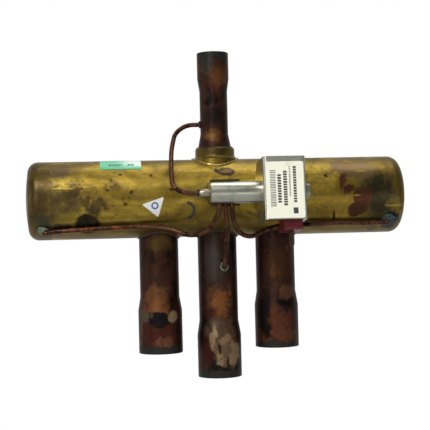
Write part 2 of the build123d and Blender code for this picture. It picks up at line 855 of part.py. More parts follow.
def make_bobbin_and_winding():
    start, end = winding_room()
    start += braze_gap
    end -= braze_gap
    tube_r = pilot_od / 2 + sleeve_gap + bobbin_wall
    with BuildPart() as bobbin:
        with BuildSketch(pilot_across.offset(start)):
            Circle(bobbin_flange_od / 2)
        extrude(amount=end - start)
        with BuildSketch(pilot_across.offset(start + bobbin_flange)):
            Circle(bobbin_flange_od / 2)
            Circle(tube_r, mode=Mode.SUBTRACT)
        extrude(amount=end - start - 2 * bobbin_flange, mode=Mode.SUBTRACT)
        with BuildSketch(pilot_across.offset(start)):
            Circle(pilot_od / 2 + sleeve_gap)
        extrude(amount=end - start, mode=Mode.SUBTRACT)
    save(bobbin.part, "coil_bobbin", coil_place)
    with BuildPart() as winding:
        with BuildSketch(pilot_across.offset(start + bobbin_flange + braze_gap)):
            Circle(winding_od / 2)
            Circle(tube_r + braze_gap, mode=Mode.SUBTRACT)
        extrude(amount=end - start - 2 * bobbin_flange - 2 * braze_gap)
    save(winding.part, "coil_winding", coil_place)


def make_terminal_blade(name, side):
    middle = (moulding_back - moulding_front) / 2 + side * blade_pitch / 2
    centre_x = coil_end - frame_thickness - sleeve_gap / 2 - terminal_block_width / 2
    floor = -moulding_height / 2 - terminal_block_drop
    length = blade_length + blade_root - 0.1
    with BuildPart() as blade:
        with BuildSketch(pilot_across.offset(centre_x)) as outline:
            with Locations((middle, floor - blade_length + length / 2)):
                Rectangle(blade_width, length)
            chamfer(outline.vertices().group_by(Axis.Y)[0], blade_width / 4)
            with Locations((middle, floor - blade_length * 0.6)):
                Circle(blade_hole / 2, mode=Mode.SUBTRACT)
        extrude(amount=blade_thickness / 2, both=True)
    save(blade.part, name, coil_place)


def make_coil_fasteners():
    washer_at = coil_end + braze_gap
    with BuildPart() as washer:
        with BuildSketch(pilot_across.offset(washer_at)):
            Circle(lock_washer_od / 2)
            Circle(coil_screw_od / 2 + sleeve_gap, mode=Mode.SUBTRACT)
            with Locations((0, lock_washer_od / 4)):
                Rectangle(lock_washer_slit, lock_washer_od / 2, mode=Mode.SUBTRACT)
        extrude(amount=lock_washer)
    save(washer.part, "lock_washer", coil_place)
    head_at = washer_at + lock_washer + braze_gap
    shank = head_at - core_end + core_bore_depth - 1.0
    with BuildPart() as screw:
        with BuildSketch(pilot_across.offset(head_at)):
            RegularPolygon(coil_screw_head_af / 2, 6, major_radius=False, rotation=20)
        extrude(amount=coil_screw_head)
        with BuildSketch(pilot_across.offset(head_at)):
            Circle(coil_screw_head_af * 0.57)
        extrude(amount=coil_screw_head, mode=Mode.INTERSECT)
        with BuildSketch(pilot_across.offset(head_at)):
            Circle(coil_screw_od / 2)
        extrude(amount=-shank)
    save(screw.part, "coil_screw", coil_place)


def make_coil_label():
    top = coil_height / 2 - coil_label_drop
    with BuildPart() as label:
        front = Plane(origin=(0, -coil_front - sticker_gap, 0), x_dir=(1, 0, 0), z_dir=(0, -1, 0))
        with BuildSketch(front):
            with Locations((coil_start + coil_width / 2, top - coil_label_height / 2)):
                RectangleRounded(
                    coil_width - 2 * (frame_bend - coil_label_lap),
                    coil_label_height,
                    1.2,
                )
        extrude(amount=sticker_thickness)
    save(label.part, "coil_label", coil_place)


# ---------------------------------------------------------------- capillaries


def bend_radii(points):
    """One radius for each corner, as large as its two runs leave room for."""
    radii = []
    for before, corner, after in zip(points, points[1:], points[2:]):
        arriving = Vector(*corner) - Vector(*before)
        leaving = Vector(*after) - Vector(*corner)
        turn = radians(arriving.get_angle(leaving))
        radii.append(0.45 * min(arriving.length, leaving.length) / tan(turn / 2))
    return radii


def make_capillary(name, points):
    """A bent copper capillary along straight runs joined by tangent arcs."""
    radii = bend_radii(points)
    with BuildPart() as tube:
        with BuildLine() as route:
            FilletPolyline(*points, radius=radii)
        path = route.wires()[0]
        with BuildSketch(Plane(origin=path @ 0, z_dir=path % 0)):
            Circle(capillary_od / 2)
            Circle(capillary_bore / 2, mode=Mode.SUBTRACT)
        sweep(path=path)
    section = pi * (capillary_od**2 - capillary_bore**2) / 4
    ideal = section * path.length
    print(f"{name}: length {path.length:.1f}, tightest bend {min(radii):.1f}, "
          f"volume {tube.part.volume / ideal:.4f} of section times length")
    save(tube.part, name)


# ---------------------------------------------------------------- stickers


def make_green_label():
    shell_in = body_r + sticker_gap
    with BuildPart() as label:
        with BuildSketch(across_body.offset(green_label_start)):
            Circle(shell_in + sticker_thickness)
            Circle(shell_in, mode=Mode.SUBTRACT)
            reach = 2 * body_od
            with BuildLine():
                front = radians(green_label_front)
                back = radians(green_label_back)
                Polyline(
                    (0, 0),
                    (-reach * sin(front), reach * cos(front)),
                    (0, reach * 1.5),
                    (reach * sin(back), reach * cos(back)),
                    close=True,
                )
            make_face(mode=Mode.INTERSECT)
        extrude(amount=green_label_width)
    save(label.part, "green_label")


def make_triangle_tag():
    shell_in = body_r + sticker_gap
    with BuildPart() as tag:
        with BuildSketch(along_body) as outline:
            with BuildLine():
                Polyline(tag_corner_a, tag_corner_b, tag_corner_c, close=True)
            make_face()
            fillet(outline.vertices(), tag_corner_round)
        extrude(amount=body_od)
        add(body_solid(shell_in + sticker_thickness), mode=Mode.INTERSECT)
        add(body_solid(shell_in), mode=Mode.SUBTRACT)
    save(tag.part, "triangle_tag")


# ---------------------------------------------------------------- assembly

left_port_inset = 9.5
right_port_inset = 10.5
left_port_x = left_port_inset - body_length / 2
right_port_x = body_length / 2 - right_port_inset
left_port_angle = 49.0
right_port_angle = 43.0
suction_tap_z = axis_z - 39.4
suction_tap_x = 2.4
discharge_tap_z = axis_z + 42.0

make_body_tube()
make_end_cap("left_end_cap", -1, left_port_x, left_port_angle)
make_end_cap("right_end_cap", 1, right_port_x, right_port_angle)
make_discharge_boss()
make_discharge_stub(discharge_tap_z)
make_lower_stub("left_stub", -port_pitch, left_drop)
make_lower_stub("suction_stub", 0.0, suction_drop, suction_tap_z, suction_tap_x)
make_lower_stub("right_stub", port_pitch, right_drop)

make_seat_block()
make_main_slide()
make_slide_leaf()
make_shuttle_yoke()
make_piston("left", -1)
make_piston("right", 1)
make_piston_screws()

make_pilot_sleeve()
nipple_end = make_pilot_plug()
make_pilot_seat()
make_pilot_slide()
make_pilot_carrier()
make_pilot_leaf()
make_plunger()
make_return_spring()
make_fixed_core()
make_pilot_bracket()

make_coil_frame()
make_coil_moulding()
make_bobbin_and_winding()
make_terminal_blade("front_terminal_blade", -1)
make_terminal_blade("rear_terminal_blade", 1)
make_coil_fasteners()
make_coil_label()

port_floor = -pilot_bore_r - pilot_wall + capillary_sink - braze_gap

diagonal = 0.7 * body_r
pilot_height = axis_z + pilot_rise
make_capillary(
    "left_capillary",
    [
        at_pilot(-pilot_port_pitch, 0, port_floor),
        at_pilot(-pilot_port_pitch, 0, -capillary_drop),
        (pilot_start - 5.6, 3.0 - pilot_offset, pilot_height - 15.0),
        (pilot_start - 10.0, 8.0 - pilot_offset, pilot_height - 21.5),
        (pilot_start - 19.0, -diagonal - 7.1, axis_z - diagonal - 6.2),
        (pilot_start - 30.0, -diagonal - 3.6, axis_z - diagonal - 1.5),
        (left_port_x + 52.0, -diagonal - 2.8, axis_z - diagonal - 0.1),
        (left_port_x + 32.0, -diagonal - 2.0, axis_z - diagonal - 0.8),
        (left_port_x + 14.0, -diagonal - 1.2, axis_z - diagonal - 1.6),
        on_body(left_port_x + 5.0, left_port_angle - 1.0, capillary_ring),
        on_body(left_port_x, left_port_angle, capillary_ring + capillary_hump),
        on_body(left_port_x, left_port_angle, body_r - capillary_sink),
    ],
)
stub_front = stub_od / 2
make_capillary(
    "suction_capillary",
    [
        at_pilot(0, 0, port_floor),
        at_pilot(0, 0, -capillary_drop),
        (pilot_start + 1.2, 4.0 - pilot_offset, pilot_height - 19.5),
        (suction_tap_x + 0.6, -stub_front - 10.9, suction_tap_z + 14.4),
        (suction_tap_x + 0.2, -stub_front - 3.9, suction_tap_z + 7.4),
        (suction_tap_x, -stub_front - 3.0, suction_tap_z),
        (suction_tap_x, -stub_front + capillary_sink, suction_tap_z),
    ],
)
make_capillary(
    "right_capillary",
    [
        at_pilot(pilot_port_pitch, 0, port_floor),
        at_pilot(pilot_port_pitch, 0, -capillary_drop),
        (pilot_start + 4.6, 3.0 - pilot_offset, pilot_height - 16.0),
        (pilot_start + 8.4, 8.0 - pilot_offset, pilot_height - 22.5),
        (pilot_start + 15.5, -diagonal - 7.6, axis_z - diagonal - 7.8),
        (pilot_start + 24.5, -diagonal - 4.4, axis_z - diagonal - 3.4),
        (pilot_start + 36.0, -diagonal - 2.6, axis_z - diagonal - 0.8),
        (right_port_x - 45.0, -diagonal - 2.0, axis_z - diagonal - 1.5),
        (right_port_x - 29.0, -diagonal - 1.9, axis_z - diagonal - 0.6),
        (right_port_x - 13.0, -diagonal - 1.8, axis_z - diagonal - 1.2),
        on_body(right_port_x - 5.0, right_port_angle + 1.0, capillary_ring),
        on_body(right_port_x, right_port_angle, capillary_ring + capillary_hump),
        on_body(right_port_x, right_port_angle, body_r - capillary_sink),
    ],
)
loop_reach = discharge_od / 2 + 8.06
make_capillary(
    "discharge_capillary",
    [
        (-discharge_od / 2 + capillary_sink - 1.2, 0, discharge_tap_z),
        (-loop_reach, 0, discharge_tap_z),
        (-loop_reach - 7.0, -4.0, discharge_tap_z - 5.0),
        (pilot_start - 27.0, 23.0 - pilot_offset, axis_z + body_r + 5.0),
        (pilot_start - 28.6, 9.0 - pilot_offset, pilot_height + 12.5),
        (pilot_start - 28.4, 1.5 - pilot_offset, pilot_height + 3.5),
        (pilot_start - 22.0, -pilot_offset, pilot_height),
        at_pilot(nipple_end + capillary_sink, 0, 0),
    ],
)

make_green_label()
make_triangle_tag()
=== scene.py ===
"""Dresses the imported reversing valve: metals, braze, print, stage, light and camera."""

import json
from math import cos, pi, radians, sin, sqrt

import bmesh
import bpy
from mathutils import Matrix, Vector, noise


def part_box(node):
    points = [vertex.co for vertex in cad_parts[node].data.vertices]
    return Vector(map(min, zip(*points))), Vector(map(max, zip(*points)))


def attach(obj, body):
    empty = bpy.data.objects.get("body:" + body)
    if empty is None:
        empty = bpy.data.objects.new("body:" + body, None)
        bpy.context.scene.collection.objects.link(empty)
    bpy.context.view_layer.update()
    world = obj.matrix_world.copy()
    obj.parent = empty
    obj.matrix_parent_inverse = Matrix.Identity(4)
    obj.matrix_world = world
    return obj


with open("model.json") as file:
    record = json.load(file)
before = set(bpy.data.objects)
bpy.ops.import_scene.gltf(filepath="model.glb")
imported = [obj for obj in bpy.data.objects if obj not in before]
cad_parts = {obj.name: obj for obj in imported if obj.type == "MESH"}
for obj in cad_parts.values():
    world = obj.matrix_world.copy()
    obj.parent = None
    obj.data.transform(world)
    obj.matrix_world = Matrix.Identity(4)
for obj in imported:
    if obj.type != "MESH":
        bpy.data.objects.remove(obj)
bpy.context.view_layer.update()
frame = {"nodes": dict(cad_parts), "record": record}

MM = 0.001
VALVE = "valve"

# Places and sizes read from the CAD nodes, in metres
tube_low, tube_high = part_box("valve_body_tube")
BODY_R = (tube_high.z - tube_low.z) / 2
AXIS_Z = (tube_high.z + tube_low.z) / 2
boss_low, boss_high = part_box("discharge_boss")
discharge_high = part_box("discharge_stub")[1]


def stub_axis(node):
    low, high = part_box(node)
    return (low.x + high.x) / 2


# ------------------------------------------------------------------ materials


def linear(red, green, blue):
    """A colour given in 0 to 255 display steps, as Blender's linear values."""
    out = []
    for step in (red, green, blue):
        c = step / 255
        out.append(c / 12.92 if c <= 0.04045 else ((c + 0.055) / 1.055) ** 2.4)
    return (*out, 1.0)


class Surface:
    """A material and short ways to add the nodes that this script uses."""

    def __init__(self, name, metallic=0.0, roughness=0.5, **constants):
        self.material = bpy.data.materials.new(name)
        self.material.use_nodes = True
        self.tree = self.material.node_tree
        self.shader = self.tree.nodes["Principled BSDF"]
        self.shader.inputs["Metallic"].default_value = metallic
        self.shader.inputs["Roughness"].default_value = roughness
        for socket, value in constants.items():
            self.shader.inputs[socket.replace("_", " ")].default_value = value
        self.place = self.add("ShaderNodeTexCoord").outputs["Object"]
        self.torn = None

    def add(self, kind, inputs=None, **settings):
        node = self.tree.nodes.new(kind)
        for key, value in settings.items():
            setattr(node, key, value)
        for key, value in (inputs or {}).items():
            if isinstance(value, bpy.types.NodeSocket):
                self.tree.links.new(value, node.inputs[key])
            else:
                node.inputs[key].default_value = value
        return node

    def math(self, operation, a, b=0.0, c=0.0, clamp=False):
        node = self.add("ShaderNodeMath", {0: a, 1: b, 2: c}, operation=operation)
        node.use_clamp = clamp
        return node.outputs[0]

    def spread(self, stretch=(1, 1, 1), shift=(0, 0, 0)):
        node = self.add("ShaderNodeMapping", {"Vector": self.place, "Scale": stretch, "Location": shift})
        return node.outputs[0]

    def noise(self, scale, detail=4.0, rough=0.55, stretch=(1, 1, 1), shift=(0, 0, 0), warp=0.0):
        node = self.add(
            "ShaderNodeTexNoise",
            {
                "Vector": self.spread(stretch, shift),
                "Scale": scale,
                "Detail": detail,
                "Roughness": rough,
                "Distortion": warp,
            },
        )
        return node.outputs["Fac"]

    def ramp(self, factor, *stops):
        node = self.add("ShaderNodeValToRGB", {"Fac": factor})
        marks = node.color_ramp.elements
        while len(marks) < len(stops):
            marks.new(0.5)
        for mark, (position, colour) in zip(marks, stops):
            mark.position = position
            mark.color = colour if not isinstance(colour, (int, float)) else (colour,) * 3 + (1.0,)
        return node.outputs["Color"]

    def step(self, value, low, high, soft=True):
        kind = "SMOOTHSTEP" if soft else "LINEAR"
        node = self.add(
            "ShaderNodeMapRange",
            {"Value": value, "From Min": low, "From Max": high},
            interpolation_type=kind,
        )
        return node.outputs[0]

    def mix(self, factor, a, b, blend="MIX"):
        node = self.add("ShaderNodeMix", data_type="RGBA", blend_type=blend)
        for index, value in ((0, factor), (6, a), (7, b)):
            if isinstance(value, bpy.types.NodeSocket):
                self.tree.links.new(value, node.inputs[index])
            else:
                node.inputs[index].default_value = value
        return node.outputs[2]

    def along(self, axis):
        return self.add("ShaderNodeSeparateXYZ", {0: self.place}).outputs[axis]

    def blot(self, centre, radii, ragged=0.35, edge=0.25, patchy=0.35):
        """1 inside a torn and patchy ellipsoid round a point, falling to 0 outside it."""
        if self.torn is None:
            self.torn = self.add(
                "ShaderNodeTexNoise",
                {"Vector": self.place, "Scale": 105.0, "Detail": 7.0, "Roughness": 0.72},
            ).outputs["Color"]
            self.worn = self.noise(240.0, 5.0, 0.7)
        tear = ragged * 44 * MM
        moved = self.add(
            "ShaderNodeVectorMath",
            {0: self.torn, 1: (tear,) * 3, 2: self.place},
            operation="MULTIPLY_ADD",
        ).outputs[0]
        moved = self.add(
            "ShaderNodeVectorMath", {0: moved, 1: tuple(-c - tear / 2 for c in centre)}, operation="ADD"
        ).outputs[0]
        scaled = self.add(
            "ShaderNodeVectorMath", {0: moved, 1: tuple(1 / r for r in radii)}, operation="MULTIPLY"
        ).outputs[0]
        reach = self.add("ShaderNodeVectorMath", {0: scaled}, operation="LENGTH").outputs["Value"]
        reach = self.math("MULTIPLY_ADD", self.worn, 1.2 * patchy, reach)
        return self.step(reach, 1.0 + 0.6 * patchy + edge, 1.0 + 0.6 * patchy - edge)

    def colour(self, socket):
        self.tree.links.new(socket, self.shader.inputs["Base Color"])

    def feed(self, socket, name):
        self.tree.links.new(socket, self.shader.inputs[name])

    def bump(self, height, distance, strength=1.0):
        node = self.add(
            "ShaderNodeBump", {"Height": height, "Distance": distance, "Strength": strength}
        )
        self.tree.links.new(node.outputs[0], self.shader.inputs["Normal"])


def on_body(x, z):
    """A point on the front of the body, from its X and its height over the axis, in mm."""
    return (x * MM, -sqrt(max(BODY_R**2 - (z * MM) ** 2, 0)), AXIS_Z + z * MM)


BRASS_BRIGHT = linear(180, 154, 60)
BRASS_MID = linear(132, 108, 36)
BRASS_DULL = linear(98, 78, 28)
# A tarnish colour, also used as painted shade on the brass's lower part and near the body's ends.
TARNISH_AND_SHADE = linear(70, 56, 30)
BURN = linear(48, 36, 24)
BROWN = linear(78, 42, 26)


def brass(name, blots=(), dull=0.0, seed=0.0, streaks=True):
    """Old brass: mottled, speckled and stained, with burnt patches where it was brazed, and painted
    shade that darkens its lower part.
    """
    s = Surface(name, metallic=0.85, roughness=0.42, Specular_IOR_Level=0.3)
    cloud = s.noise(24.0, 7.0, 0.68, stretch=(0.8, 1.3, 1.3), shift=(seed, 0, 0), warp=0.5)
    colour = s.ramp(
        cloud,
        (0.34 + 0.1 * dull, BRASS_DULL),
        (0.50 + 0.1 * dull, BRASS_MID),
        (0.66 + 0.2 * dull, BRASS_BRIGHT),
    )
    if streaks:
        drawn = s.noise(420.0, 3.0, 0.5, stretch=(0.03, 1, 1), shift=(seed, 0, 0))
        colour = s.mix(s.math("MULTIPLY", s.step(drawn, 0.45, 0.75), 0.6), colour, BRASS_DULL)
    stain = s.noise(58.0, 8.0, 0.74, shift=(0, seed, 0), warp=0.8)
    colour = s.mix(s.step(stain, 0.52 - 0.1 * dull, 0.70 - 0.1 * dull), colour, TARNISH_AND_SHADE)
    veil = s.noise(14.0, 5.0, 0.7, stretch=(1.0, 1.6, 1.6), shift=(seed + 4, 0, 0), warp=0.9)
    colour = s.mix(s.math("MULTIPLY", s.step(veil, 0.50, 0.72), 0.55), colour, linear(84, 70, 38))
    # Painted shade: the brass darkens to the tarnish colour towards the bottom, below the body's axis.
    under = s.step(s.along(2), AXIS_Z - 4 * MM, AXIS_Z - 21 * MM)
    colour = s.mix(s.math("MULTIPLY", under, 0.45), colour, TARNISH_AND_SHADE)
    for centre, radii, tint, options in blots:
        colour = s.mix(s.blot(centre, radii, **options), colour, tint)
    specks = s.noise(760.0, 3.0, 0.6, shift=(seed, seed, 0))
    colour = s.mix(s.step(specks, 0.64, 0.71), colour, BURN)
    grime = s.noise(150.0, 7.0, 0.78, shift=(seed, 1, seed), warp=0.4)
    colour = s.mix(s.math("MULTIPLY", s.step(grime, 0.50, 0.66), 0.42), colour, linear(92, 80, 52))
    pits = s.noise(210.0, 4.0, 0.6, shift=(seed, 3 + seed, 0), warp=0.3)
    colour = s.mix(s.math("MULTIPLY", s.step(pits, 0.68, 0.73), 0.75), colour, BURN)
    scratch = s.noise(300.0, 2.0, 0.5, stretch=(0.12, 1, 1), shift=(0, 0, seed + 9), warp=0.2)
    colour = s.mix(s.math("MULTIPLY", s.step(scratch, 0.69, 0.74), 0.5), colour, BRASS_BRIGHT)
    s.colour(colour)
    rough = s.math("MULTIPLY_ADD", stain, 0.40, 0.18)
    s.feed(rough, "Roughness")
    s.bump(s.noise(300.0, 4.0, 0.6), 0.00010, 0.4)
    return s


def burnt(x, z, rx, rz, tint=BURN, **options):
    """A mark on the front of the body, in mm: mostly a stain, and near the body's ends partly painted
    shade.
    """
    return (on_body(x, z), (rx * MM, 9 * MM, rz * MM), tint, options)


GREY_BROWN = linear(104, 84, 52)
GREEN_BLACK = linear(54, 50, 30)
BLUE_BLACK = linear(34, 42, 40)

BODY_BLOTS = (
    # Partly painted shade and partly heat tarnish: these patches darken the body towards its right end
    # and dull its upper highlight band there.
    burnt(90.0, 3.0, 11.0, 17.0, GREEN_BLACK, ragged=0.6, edge=0.7, patchy=0.7),
    burnt(93.0, -6.0, 9.0, 10.0, linear(46, 42, 26), ragged=0.5, edge=0.6, patchy=0.6),
    burnt(79.0, 13.4, 10.5, 6.5, GREY_BROWN, ragged=0.5, edge=0.22, patchy=0.5),
    burnt(70.0, 15.5, 7.0, 4.5, linear(96, 76, 46), ragged=0.5, edge=0.3, patchy=0.6),
    burnt(80.8, -2.6, 5.6, 6.8, linear(74, 42, 26), ragged=0.22, edge=0.12, patchy=0.4),
    burnt(77.4, -8.6, 5.4, 4.8, linear(62, 38, 24), ragged=0.22, edge=0.16, patchy=0.5),
    burnt(69.4, 7.4, 2.4, 4.4, BROWN, ragged=0.30, edge=0.25, patchy=0.5),
    burnt(73.6, 2.6, 2.6, 2.6, BROWN, ragged=0.35, edge=0.3, patchy=0.6),
    burnt(64.2, -12.0, 0.8, 2.8, BURN, ragged=0.10, edge=0.25),
    burnt(48.5, 5.0, 2.2, 7.0, TARNISH_AND_SHADE, ragged=0.4, edge=0.5, patchy=0.6),
    burnt(60.0, 10.5, 1.2, 1.0, BURN, ragged=0.08, edge=0.3),
    burnt(3.8, 14.0, 5.4, 2.3, linear(56, 44, 28), ragged=0.10, edge=0.12, patchy=0.3),
    burnt(3.6, 14.2, 3.4, 1.0, linear(92, 76, 42), ragged=0.10, edge=0.4, patchy=0.4),
    burnt(-1.6, 14.6, 1.3, 1.0, BURN, ragged=0.10, edge=0.3),
    burnt(-73.6, -14.0, 7.2, 6.4, linear(38, 31, 21), ragged=0.07, edge=0.16, patchy=0.35),
    burnt(-87.0, -15.5, 5.0, 2.4, GREEN_BLACK, ragged=0.3, edge=0.4, patchy=0.5),
    # Partly painted shade and partly tarnish: these soft patches darken the body towards its left end
    # and lower its highlight there.
    burnt(-97.0, 2.0, 6.5, 17.0, linear(70, 60, 38), ragged=0.6, edge=0.7, patchy=0.7),
    burnt(-88.0, 16.5, 10.0, 5.0, linear(92, 74, 46), ragged=0.6, edge=0.5, patchy=0.6),
    burnt(-88.0, -1.0, 8.0, 8.0, linear(78, 64, 38), ragged=0.7, edge=0.9, patchy=0.9),
    burnt(-80.0, 3.0, 6.0, 7.0, TARNISH_AND_SHADE, ragged=0.7, edge=0.6, patchy=0.8),
    burnt(-71.0, -4.0, 7.0, 4.0, TARNISH_AND_SHADE, ragged=0.7, edge=0.6, patchy=0.8),
    burnt(-59.0, 8.0, 4.0, 2.4, TARNISH_AND_SHADE, ragged=0.6, edge=0.6, patchy=0.7),
    burnt(-26.8, 5.2, 1.6, 1.0, BURN, ragged=0.2, edge=0.4),
    burnt(-34.7, -15.0, 3.4, 1.4, BURN, ragged=0.3, edge=0.4, patchy=0.6),
    burnt(-49.0, 3.0, 1.2, 0.8, BROWN, ragged=0.12, edge=0.3),
    burnt(-52.0, -3.0, 1.0, 0.9, BROWN, ragged=0.12, edge=0.3),
    burnt(-38.0, 12.4, 0.9, 0.8, BROWN, ragged=0.10, edge=0.3),
    burnt(-55.0, 13.4, 1.0, 0.7, BURN, ragged=0.10, edge=0.3),
    burnt(31.0, 15.0, 5.0, 6.0, linear(88, 70, 40), ragged=0.6, edge=0.5, patchy=0.6),
)

COPPER_BROWN = linear(60, 32, 19)
COPPER_VIOLET = linear(50, 31, 25)
COPPER_ORANGE = linear(132, 76, 36)
COPPER_BLACK = linear(16, 10, 7)
FLUX_PALE = linear(126, 104, 76)
FLUX_GREY = linear(76, 58, 42)
RIM_GREY = linear(42, 40, 36)


def copper(
    name,
    blots=(),
    base=COPPER_BROWN,
    seed=0.0,
    rim=None,
    rim_depth=4.0,
    metallic=0.45,
    tone=1.0,
):
    """Heat scaled copper: brown and violet oxide under burnt and fluxed patches."""
    s = Surface(name, metallic=metallic, roughness=0.5, Specular_IOR_Level=0.12)
    cloud = s.noise(62.0, 8.0, 0.70, stretch=(1, 1, 0.55), shift=(seed, 0, seed), warp=0.7)
    colour = s.ramp(
        cloud,
        (0.38, COPPER_BLACK),
        (0.48, base),
        (0.57, COPPER_VIOLET),
        (0.68, COPPER_ORANGE),
    )
    fine = s.noise(420.0, 5.0, 0.7, shift=(seed, 0, 0))
    colour = s.mix(s.math("MULTIPLY", fine, 0.4 * tone), colour, COPPER_BLACK)
    for centre, radii, tint, options in blots:
        colour = s.mix(s.blot(centre, radii, **options), colour, tint)
    scale = s.noise(190.0, 6.0, 0.75, shift=(seed, 2, 0), warp=0.5)
    colour = s.mix(s.math("MULTIPLY", s.step(scale, 0.56, 0.70), 0.8 * tone), colour, COPPER_BLACK)
    spark = s.noise(330.0, 4.0, 0.7, shift=(seed, 5, 0))
    colour = s.mix(s.math("MULTIPLY", s.step(spark, 0.62, 0.72), 0.45), colour, COPPER_ORANGE)
    if rim is not None:
        wave = s.math("MULTIPLY_ADD", s.noise(150.0, 5.0, 0.65, shift=(seed, 0, 0)), 7 * MM, s.along(2))
        side = 1 if rim > AXIS_Z else -1
        edge = rim - side * rim_depth * MM + 3.5 * MM
        colour = s.mix(s.step(wave, edge - side * 0.5 * MM, edge + side * 0.5 * MM), colour, RIM_GREY)
    s.colour(colour)
    s.feed(s.math("MULTIPLY_ADD", fine, 0.36, 0.24), "Roughness")
    s.bump(s.math("ADD", s.math("MULTIPLY", fine, 0.5), cloud), 0.00026, 0.55)
    return s


def patch(x, z, rx, rz, tint, **options):
    """A mark on the front of a stub, from its X and its height over the mouths' datum: mostly a stain,
    and on the right stub's left edge a painted shade.
    """
    return ((x * MM, -11.5 * MM, z * MM), (rx * MM, 7 * MM, rz * MM), tint, options)


left_x = stub_axis("left_stub") / MM
right_x = stub_axis("right_stub") / MM

